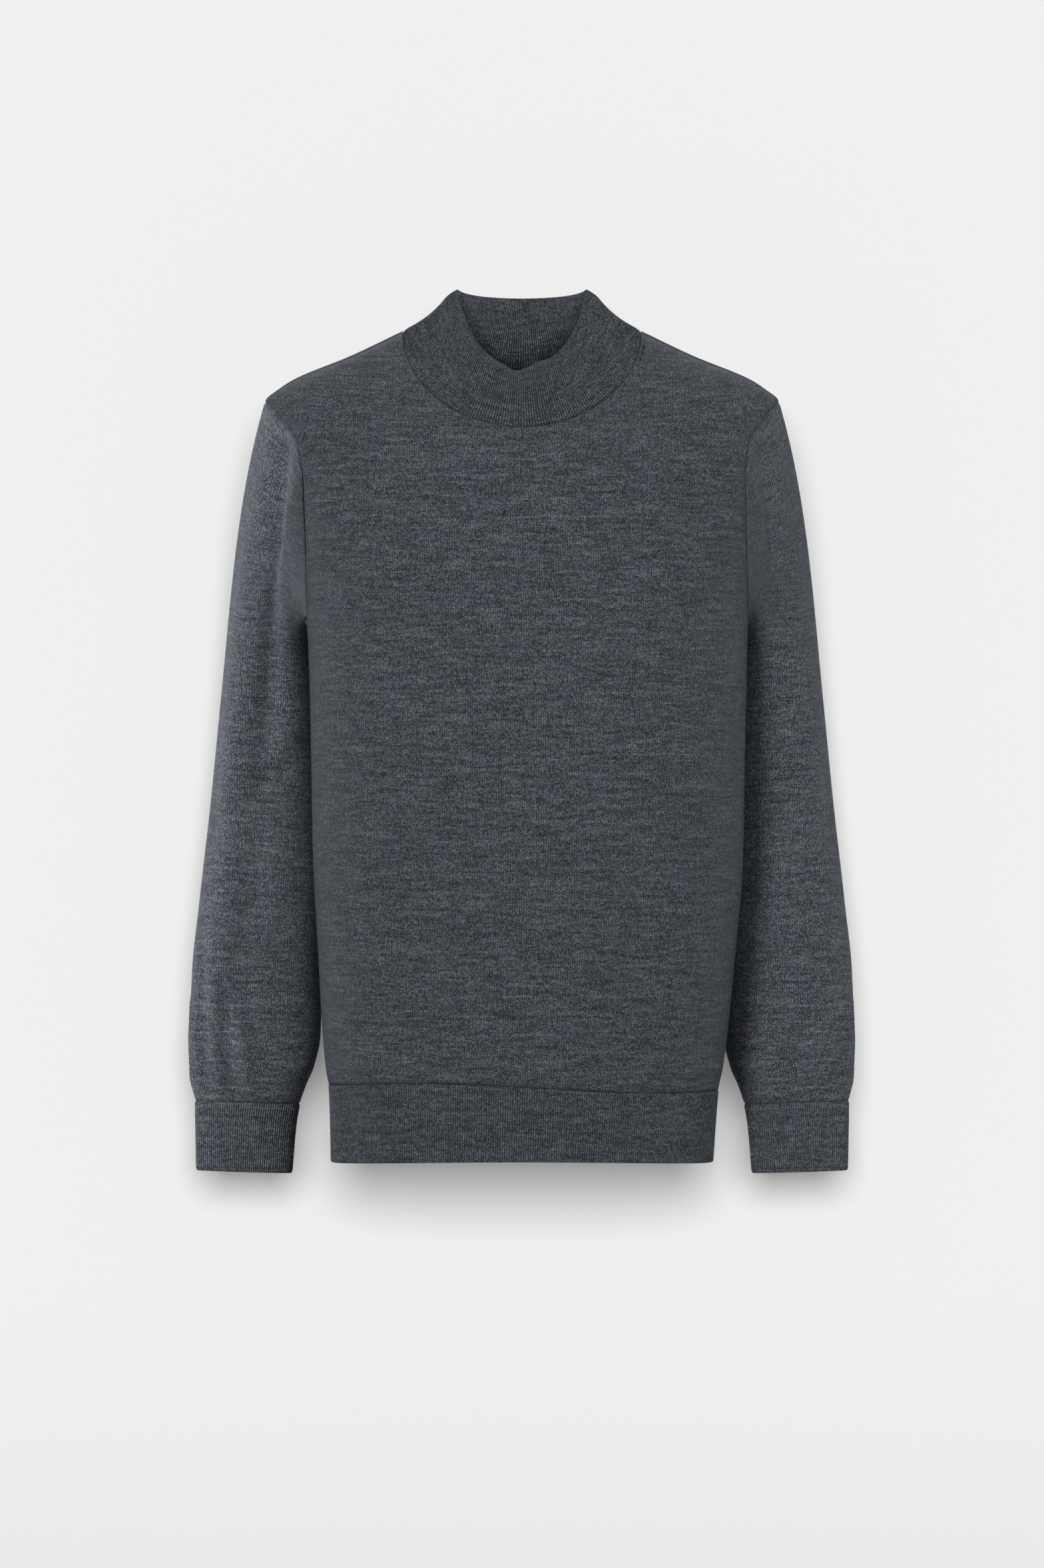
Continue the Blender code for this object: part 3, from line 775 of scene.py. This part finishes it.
def armhole_loop(side, turn):
    """The armhole's seam: turn 0 is the shoulder point, and positive turns go down the front to the underarm."""
    x, z = armhole_edge(1 - np.abs(turn) / np.pi)
    front, back = on_trunk(side * x, z, True), on_trunk(side * x, z, False)
    return np.where((turn >= 0)[:, None], front, back)


def sleeve_grid(side, turn):
    """Cubic curves from the armhole that settle into level rings, then rings down to the cuff."""
    c, s = np.cos(turn), np.sin(turn)
    quarters = np.maximum([c, s, -c, -s], 0).T ** 2
    start = quarters @ CAP_START * [side, 1, 1]
    z = np.full_like(turn, CAP_END_Z)
    first, last = armhole_loop(side, turn), sleeve_ring(side, turn, z)
    step = 0.001
    end = (sleeve_ring(side, turn, z - step) - last) / step * (quarters @ CAP_END_PULL)[:, None]
    cap = cubic(np.linspace(0, 1, CAP_ROWS + 1)[:-1, None, None], first, start, last, end)
    levels = np.linspace(CAP_END_Z, CUFF_SEAM_Z, ARM_ROWS + 1)
    arm = sleeve_ring(side, turn[None, :], np.repeat(levels[:, None], len(turn), axis=1))
    return np.concatenate([cap, arm])


def tube_layout(grid):
    """Where each point lies on a tube knitted flat: metres round from its outer line, and up from its lower end."""
    u = length_along(grid, axis=1)
    return np.stack([u - u[:, u.shape[1] // 2, None], length_along(grid[::-1])[::-1]], axis=-1)


turn = np.linspace(-np.pi, np.pi, SLEEVE_COLUMNS + 1)
for name, side in (("sleeve_right", -1), ("sleeve_left", 1)):
    grid = sleeve_grid(side, turn)
    layout = tube_layout(grid)
    across, up = layout[..., 0], layout[..., 1]
    off_underarm = np.clip((np.pi - np.abs(turn)) / UNDERARM_CALM_TURN, 0, 1)
    off_cuff = np.clip((up - CUFF_CALM[0]) / CUFF_CALM[1], 0, 1)
    off_armhole = np.clip(np.arange(len(grid)) / ARMHOLE_CALM_ROWS, 0, 1)[:, None]
    relief = FOLDS_SHARE[side] * soft_lines(across, up, SLEEVE_FOLDS) * off_underarm * off_cuff * off_armhole
    tilt = CAP_TILT * np.clip((grid[..., 2] - CAP_END_Z) / CAP_TILT_RISE, 0, 1) ** 2
    layout = np.stack([across, up + tilt * np.abs(across)], axis=-1)
    made = knitted_shell(f"{name}_shell", grid, layout, JERSEY_WALL, looped=True, flipped=side < 0, relief=relief)
    made.data.materials.append(jersey)
    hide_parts(name)


# ---- Cuffs -----------------------------------------------------------------------------------------------------------
# Tubes of 1x1 rib in the same wool, knitted with the sleeve's lower edge and left open at the wrist. They are the
# sweater's tightest part, hang flat, and gather the sleeve above them.

CUFF_Z = -0.690
CUFF_RIB_PITCH = 0.00175
CUFF_LINE_POINTS = 600
CUFF_ROWS = 18

for name, side in (("cuff_right", -1), ("cuff_left", 1)):
    dense = np.linspace(-np.pi, np.pi, CUFF_LINE_POINTS)
    run = length_along(sleeve_ring(side, dense, np.full_like(dense, CUFF_Z)))
    ribs = round(run[-1] / CUFF_RIB_PITCH)
    place = np.linspace(0, run[-1], ribs * STEPS_PER_RIB + 1)
    turn = np.interp(place, run, dense)
    share = edge_rows(CUFF_ROWS, CUFF_SEAM_Z - CUFF_Z)[:, None]
    levels = CUFF_SEAM_Z + (CUFF_Z - CUFF_SEAM_Z) * share
    grid = sleeve_ring(side, turn[None, :], np.repeat(levels, len(turn), axis=1))
    ridges = rib_wave(place, run[-1] / ribs) * rib_share(share, RIB_EDGE_SHARE)
    layout = tube_layout(grid)
    layout[..., 0] = place * ribs / run[-1] * HEM_RIB_PITCH
    made = knitted_shell(f"{name}_band", grid, layout, RIB_WALL, looped=True, flipped=side < 0, both=ridges, free=-1)
    made.data.materials.append(rib_knit)
    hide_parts(name)


# ---- Collar ----------------------------------------------------------------------------------------------------------
# A mock neck: a band of 1x1 rib folded double, linked to the neck edge with its fold at the top. Its ribs fan out
# towards the seam, and the fold stands open and sags a little at the front.

COLLAR_WALL = 0.0030
COLLAR_TOP_HALF = 0.0575
COLLAR_TOP_Z = 0.034
COLLAR_TOP_FRONT = (-0.051, -0.0314)
COLLAR_TOP_BACK = (0.046, 0.0292)
COLLAR_HEIGHT = 0.06
COLLAR_HOLLOW = 0.0030
COLLAR_PEAK = 0.25
COLLAR_FOLD_BEND = 0.0055
COLLAR_FOLD_BEND_FRONT = 0.4
COLLAR_FOLD_FROM = 0.82
COLLAR_RIBS = 260
COLLAR_RIB_PITCH = 0.0017
COLLAR_RIB_HEIGHT = 1.1
COLLAR_RIB_EDGE_SHARE = 0.3
COLLAR_ROWS = 32

# Soft waves of the collar's front: middle across, how far it drifts by the fold, breadth, height. The sags are in the
# fold's height and the creases in the cloth's stand. Then how the cloth rolls out of its seam, less at the sides.
COLLAR_SAGS = [(-0.006, 0.0, 0.011, -0.0014), (0.013, 0.0, 0.0075, 0.0011)]
COLLAR_CREASES = [(0.001, -0.006, 0.0065, -0.0022), (0.013, 0.0, 0.008, 0.0012)]
CREASES_FROM = 0.35
SEAM_ROLL = 0.0008
SEAM_ROLL_SIDES = 0.0022
SEAM_ROLL_SHARE = 0.06


def collar_grid(turn, share):
    """From the neck seam up to the fold. turn is 0 at the front's middle and grows to the wearer's left; the seam is
    the panels' neck edge, and the fold two half ovals that dip at the front. Between them the cloth is hollowed by
    4 * share * (1 - share), and near the fold it bends inwards with the square of the way."""
    front = np.abs(turn) <= np.pi / 2
    folded = np.where(front, turn, np.sign(turn) * np.pi - turn)
    across = NECK_SHARE * folded / (np.pi / 2)
    base = np.where(
        front[:, None], on_trunk(*top_edge(across, True), True), on_trunk(*top_edge(across, False), False)
    )
    level = np.cos(folded)
    drop = (np.hypot(level, COLLAR_PEAK) - COLLAR_PEAK) / (np.hypot(1, COLLAR_PEAK) - COLLAR_PEAK)
    top_y = np.where(front, COLLAR_TOP_FRONT[0], COLLAR_TOP_BACK[0]) * level
    top_z = COLLAR_TOP_Z + (np.where(front, COLLAR_TOP_FRONT[1], COLLAR_TOP_BACK[1]) - COLLAR_TOP_Z) * drop
    top = np.stack([COLLAR_TOP_HALF * np.sin(folded), top_y, top_z], axis=-1)
    inward = np.stack([-base[:, 0] / NECK_HALF, 0 * base[:, 0], -np.abs(base[:, 0]) / NECK_HALF], axis=-1)
    rolled = np.stack([-np.sin(turn), np.where(front, 1.0, -1.0) * level, 0 * turn], axis=-1)
    share = share[:, None, None]
    at_sides = np.sin(turn)[:, None] ** 2
    bend = COLLAR_FOLD_BEND * (COLLAR_FOLD_BEND_FRONT + (1 - COLLAR_FOLD_BEND_FRONT) * at_sides)
    bend = bend * np.clip((share - COLLAR_FOLD_FROM) / (1 - COLLAR_FOLD_FROM), 0, 1) ** 2
    return (1 - share) * base + share * top + COLLAR_HOLLOW * 4 * share * (1 - share) * inward + bend * rolled


def soft_waves(x, up, waves):
    """Sum of soft waves across x, up from 0 to 1: each its height times a bell about its drifting middle."""
    return sum(height * bell(x - middle - drift * up, breadth) for middle, drift, breadth, height in waves)


turn = np.linspace(-np.pi, np.pi, COLLAR_RIBS * STEPS_PER_RIB + 1)
share = edge_rows(COLLAR_ROWS, COLLAR_HEIGHT)
grid = collar_grid(turn, share)
layout = tube_layout(grid)
layout[..., 0] = turn * COLLAR_RIBS * COLLAR_RIB_PITCH / (2 * np.pi)
x, up = grid[-1, :, 0], share[:, None]
in_front = np.cos(turn) > 0
grid[..., 2] += np.where(in_front, soft_waves(x, up, COLLAR_SAGS), 0) * up**3
crease = np.where(in_front, soft_waves(x, up, COLLAR_CREASES), 0)
crease = crease * np.clip((up - CREASES_FROM) / (1 - CREASES_FROM), 0, 1)
crease = crease + (SEAM_ROLL - SEAM_ROLL_SIDES * np.abs(np.sin(turn)) ** 6) * bell(up, SEAM_ROLL_SHARE)
ridges = COLLAR_RIB_HEIGHT * rib_wave(turn, 2 * np.pi / COLLAR_RIBS) * rib_share(up, COLLAR_RIB_EDGE_SHARE)
# The collar rib's colour carries deep painted shade in its grooves and along its seam.
collar_rib = wool(
    "wool_collar_rib", wale=COLLAR_RIB_PITCH, streak=0.012, contrast=0.95, relief=0.00022, groove_shade=0.85, seam_shade=0.7
)
made = knitted_shell(
    "collar_shell", grid, layout, COLLAR_WALL, looped=True, relief=crease, both=ridges, sink=0.0, free=-1
)
made.data.materials.append(collar_rib)
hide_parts("collar")


# ---- Embroidered motif -----------------------------------------------------------------------------------------------
# A small row of four lozenges near the hem on the wearer's left, in a thread of nearly the yarn's own colour. It is
# satin-stitched by machine through the jersey, so its threads lie side by side and stand a little proud.

MOTIF_MIDDLE = (0.147, -0.6005)
LOZENGES = 4
LOZENGE_WIDE = 0.0056
LOZENGE_HIGH = 0.0058
LOZENGE_FILL = 0.92
LOZENGE_SLOPE = 0.86
THREADS = 13
THREAD_RADIUS = 0.00026
THREAD_LIFT = 0.00015
THREAD_SIDES = 6
THREAD_PROFILE = [(-1, 0.25), (-0.85, 0.9), (0, 1), (0.85, 0.9), (1, 0.25)]
THREAD_SHADES = [(0.0, 0.030, 0.031, 0.034), (1.0, 0.075, 0.074, 0.076)]


def satin_threads():
    """Upright threads side by side, each a spindle whose length follows a lozenge's height at that place."""
    place = (np.arange(THREADS) + 0.5) / THREADS
    middles = (np.arange(LOZENGES)[:, None] - (LOZENGES - 1) / 2) * LOZENGE_WIDE
    x = (middles + (place - 0.5) * LOZENGE_WIDE * LOZENGE_FILL).reshape(-1)
    tall = np.tile(LOZENGE_HIGH * (1 - np.abs(2 * place - 1) * LOZENGE_SLOPE), LOZENGES)
    ring = np.linspace(0, 2 * np.pi, THREAD_SIDES, endpoint=False)
    along, thick = np.array(THREAD_PROFILE).T
    thick = THREAD_RADIUS * thick
    px = x[:, None, None] + thick[:, None] * np.cos(ring)
    pz = tall[:, None, None] / 2 * along[:, None] + 0 * ring
    rise = (thick[:, None] * np.sin(ring) + THREAD_RADIUS * (1 - along[:, None] ** 4)) + 0 * px
    return px + MOTIF_MIDDLE[0], pz + MOTIF_MIDDLE[1], rise


x, z, rise = satin_threads()
step = 0.0005
skin = on_trunk(x, z, True)
slope = np.cross(on_trunk(x + step, z, True) - skin, on_trunk(x, z + step, True) - skin)
slope /= np.linalg.norm(slope, axis=-1, keepdims=True)
points = skin + slope * (rise + overhang(z) + THREAD_LIFT)[..., None]
number = np.arange(x.size).reshape(x.shape)
after = np.roll(number, -1, axis=2)
walls = np.stack([number[:, :-1], after[:, :-1], after[:, 1:], number[:, 1:]], axis=-1).reshape(-1, 4)
mesh = bpy.data.meshes.new("hem_motif")
mesh.from_pydata(
    points.reshape(-1, 3), [], walls.tolist() + number[:, 0, ::-1].tolist() + number[:, -1].tolist()
)
mesh.shade_smooth()
motif = bpy.data.objects.new("hem_motif", mesh)
bpy.context.scene.collection.objects.link(motif)
embroidery_thread = bpy.data.materials.new("embroidery_thread")
embroidery_thread.use_nodes = True
tree = embroidery_thread.node_tree
twist = placed(tree, "ShaderNodeTexNoise")
set_inputs(tree, twist, {"Vector": placed(tree, "ShaderNodeTexCoord").outputs["Object"], "Scale": 1500.0})
tone = colour_ramp(tree, twist.outputs["Fac"], THREAD_SHADES)
set_inputs(tree, tree.nodes["Principled BSDF"], {"Roughness": 0.55, "Sheen Weight": 0.2, "Base Color": tone})
mesh.materials.append(embroidery_thread)
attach(motif, "root")


# ---- Stage -----------------------------------------------------------------------------------------------------------
# A pale paper backdrop close behind the sweater that takes its soft shadow, and a pale floor below. Soft boxes light
# each piece on its own, a broad sun throws the shadow, and the camera stands far off in front.

PALE = 0.86
CAMERA_DISTANCE = 7.0
CAMERA_HEIGHT = -0.371
FRAME_HEIGHT = 1.2835
SENSOR = 36.0
BACKDROP_Y = 0.165
BACKDROP_HALF = 0.75
BACKDROP_TOP = 0.45
BACKDROP_MATT = 0.20
BACKDROP_GLOW = 0.155
BACKDROP_FADE = (0.72, 0.88)
FLOOR_Z = -1.06
FLOOR_HALF = 6
FLOOR_MATT = 0.30
WORLD_LIGHT = 0.20
SUN_POWER = 10.6
SUN_BREADTH = np.radians(20)
SUN_SLOPE = 0.13
LIGHTS_AIM = np.array([0, 0, -0.35])

# Soft boxes: name, place, size, power, and the pieces that each lights
LIGHTS = [
    ("key", (-0.4, -3.5, 0.9), 2.0, 123, "trunk"),
    ("collar_key", (-0.5, -3.5, 0.9), 2.0, 8, "collar"),
    ("collar_front", (0.0, -3.0, -0.4), 1.0, 92, "collar"),
    ("right_sleeve_key", (-2.1, -2.8, 0.9), 1.6, 78, "right_sleeve"),
    ("right_sleeve_side", (-2.6, -1.9, 0.4), 1.0, 92, "right_sleeve"),
    ("left_sleeve_key", (-1.0, -3.3, 0.6), 0.8, 104, "left_sleeve"),
    ("left_sleeve_side", (2.2, -2.2, 0.2), 1.2, 36, "left_sleeve"),
    ("back_left", (1.2, 3.6, 1.0), 2.0, 260, "sweater"),
    ("back_right", (-1.2, 3.6, 0.4), 2.0, 180, "sweater"),
]


def flat_sheet(name, corners):
    """A flat four-cornered sheet."""
    mesh = bpy.data.meshes.new(name)
    mesh.from_pydata(corners, [], [(0, 1, 2, 3)])
    made = bpy.data.objects.new(name, mesh)
    bpy.context.scene.collection.objects.link(made)
    return made


def emission(tree, strength):
    """White light of this strength."""
    glow = placed(tree, "ShaderNodeEmission")
    glow.inputs["Strength"].default_value = strength
    return glow.outputs[0]


def bare_material(name):
    """A material with only its output: (material, tree, output socket)."""
    material = bpy.data.materials.new(name)
    material.use_nodes = True
    tree = material.node_tree
    tree.nodes.remove(tree.nodes["Principled BSDF"])
    return material, tree, tree.nodes["Material Output"].inputs["Surface"]


def backdrop_paper():
    """Matt paper that glows a little, so that it stays pale in shade, and is clear seen from behind or along it."""
    material, tree, surface = bare_material("backdrop_paper")
    matt = placed(tree, "ShaderNodeBsdfDiffuse", (BACKDROP_MATT, BACKDROP_MATT, BACKDROP_MATT, 1))
    paper = placed(tree, "ShaderNodeAddShader", matt.outputs[0], emission(tree, BACKDROP_GLOW))
    clear = placed(tree, "ShaderNodeBsdfTransparent")
    behind = placed(tree, "ShaderNodeNewGeometry").outputs["Backfacing"]
    facing = placed(tree, "ShaderNodeLayerWeight").outputs["Facing"]
    along = placed(tree, "ShaderNodeMapRange", facing, *BACKDROP_FADE)
    gone = maths(tree, "MAXIMUM", behind, along.outputs["Result"])
    linked(tree, surface, placed(tree, "ShaderNodeMixShader", gone, paper.outputs[0], clear.outputs[0]).outputs[0])
    return material


def floor_paper():
    """Paper as pale as the studio behind it, that throws back only a little light."""
    material, tree, surface = bare_material("floor_paper")
    matt = placed(tree, "ShaderNodeBsdfDiffuse", (FLOOR_MATT, FLOOR_MATT, FLOOR_MATT, 1))
    seen = placed(tree, "ShaderNodeLightPath").outputs["Is Camera Ray"]
    linked(tree, surface, placed(tree, "ShaderNodeMixShader", seen, matt.outputs[0], emission(tree, PALE)).outputs[0])
    return material


corners = [(-1, FLOOR_Z), (1, FLOOR_Z), (1, BACKDROP_TOP), (-1, BACKDROP_TOP)]
backdrop = flat_sheet("backdrop", [(side * BACKDROP_HALF, BACKDROP_Y, z) for side, z in corners])
backdrop.data.materials.append(backdrop_paper())
corners = [(-1, -1), (1, -1), (1, 1), (-1, 1)]
floor = flat_sheet("floor", [(FLOOR_HALF * x, FLOOR_HALF * y, FLOOR_Z) for x, y in corners])
floor.data.materials.append(floor_paper())

world = bpy.data.worlds.new("studio")
bpy.context.scene.world = world
world.use_nodes = True
tree = world.node_tree
lit = tree.nodes["Background"]
lit.inputs["Color"].default_value = (1, 1, 1, 1)
lit.inputs["Strength"].default_value = WORLD_LIGHT
seen = placed(tree, "ShaderNodeBackground", (PALE, PALE, PALE, 1), 1.0)
seen_by_camera = placed(tree, "ShaderNodeLightPath").outputs["Is Camera Ray"]
sky = placed(tree, "ShaderNodeMixShader", seen_by_camera, lit.outputs[0], seen.outputs[0])
linked(tree, tree.nodes["World Output"].inputs["Surface"], sky.outputs[0])

lit_sets = {
    "right_sleeve": ["sleeve_right_shell", "cuff_right_band"],
    "left_sleeve": ["sleeve_left_shell", "cuff_left_band"],
    "collar": ["collar_shell"],
    "trunk": ["front_shell", "back_shell", "hem_rib_front_band", "hem_rib_back_band", "hem_motif", "floor"],
    "backdrop": ["backdrop"],
}
lit_sets["sweater"] = [*lit_sets["right_sleeve"], *lit_sets["left_sleeve"], *lit_sets["collar"], *lit_sets["trunk"]]
lit_only = {}
for name, members in lit_sets.items():
    lit_only[name] = bpy.data.collections.new(f"{name}_lit")
    for member in members:
        lit_only[name].objects.link(bpy.data.objects[member])


def soft_light(name, place, size, power, lights_only):
    """A square soft box that faces the sweater's middle and lights the pieces of one collection."""
    data = bpy.data.lights.new(name, "AREA")
    data.size = size
    data.energy = power
    light = bpy.data.objects.new(name, data)
    light.location = place
    aim = LIGHTS_AIM - place
    light.rotation_euler = (np.pi / 2 + np.arctan2(aim[2], np.hypot(aim[0], aim[1])), 0, np.arctan2(-aim[0], aim[1]))
    light.light_linking.receiver_collection = lights_only
    bpy.context.scene.collection.objects.link(light)


for name, place, size, power, lights_only in LIGHTS:
    soft_light(name, place, size, power, lit_only[lights_only])

sun = bpy.data.objects.new("backdrop_sun", bpy.data.lights.new("backdrop_sun", "SUN"))
sun.data.energy = SUN_POWER
sun.data.angle = SUN_BREADTH
sun.rotation_euler = (np.pi / 2 - SUN_SLOPE, 0, 0)
sun.light_linking.receiver_collection = lit_only["backdrop"]
bpy.context.scene.collection.objects.link(sun)

camera = bpy.data.objects.new("camera", bpy.data.cameras.new("camera"))
camera.data.sensor_fit = "VERTICAL"
camera.data.sensor_height = SENSOR
camera.data.lens = SENSOR * CAMERA_DISTANCE / FRAME_HEIGHT
camera.data.clip_end = 60.0
camera.location = (0.0, -CAMERA_DISTANCE, CAMERA_HEIGHT)
camera.rotation_euler = (np.pi / 2, 0.0, 0.0)
bpy.context.scene.collection.objects.link(camera)
bpy.context.scene.camera = camera
bpy.context.scene.view_settings.view_transform = "Standard"
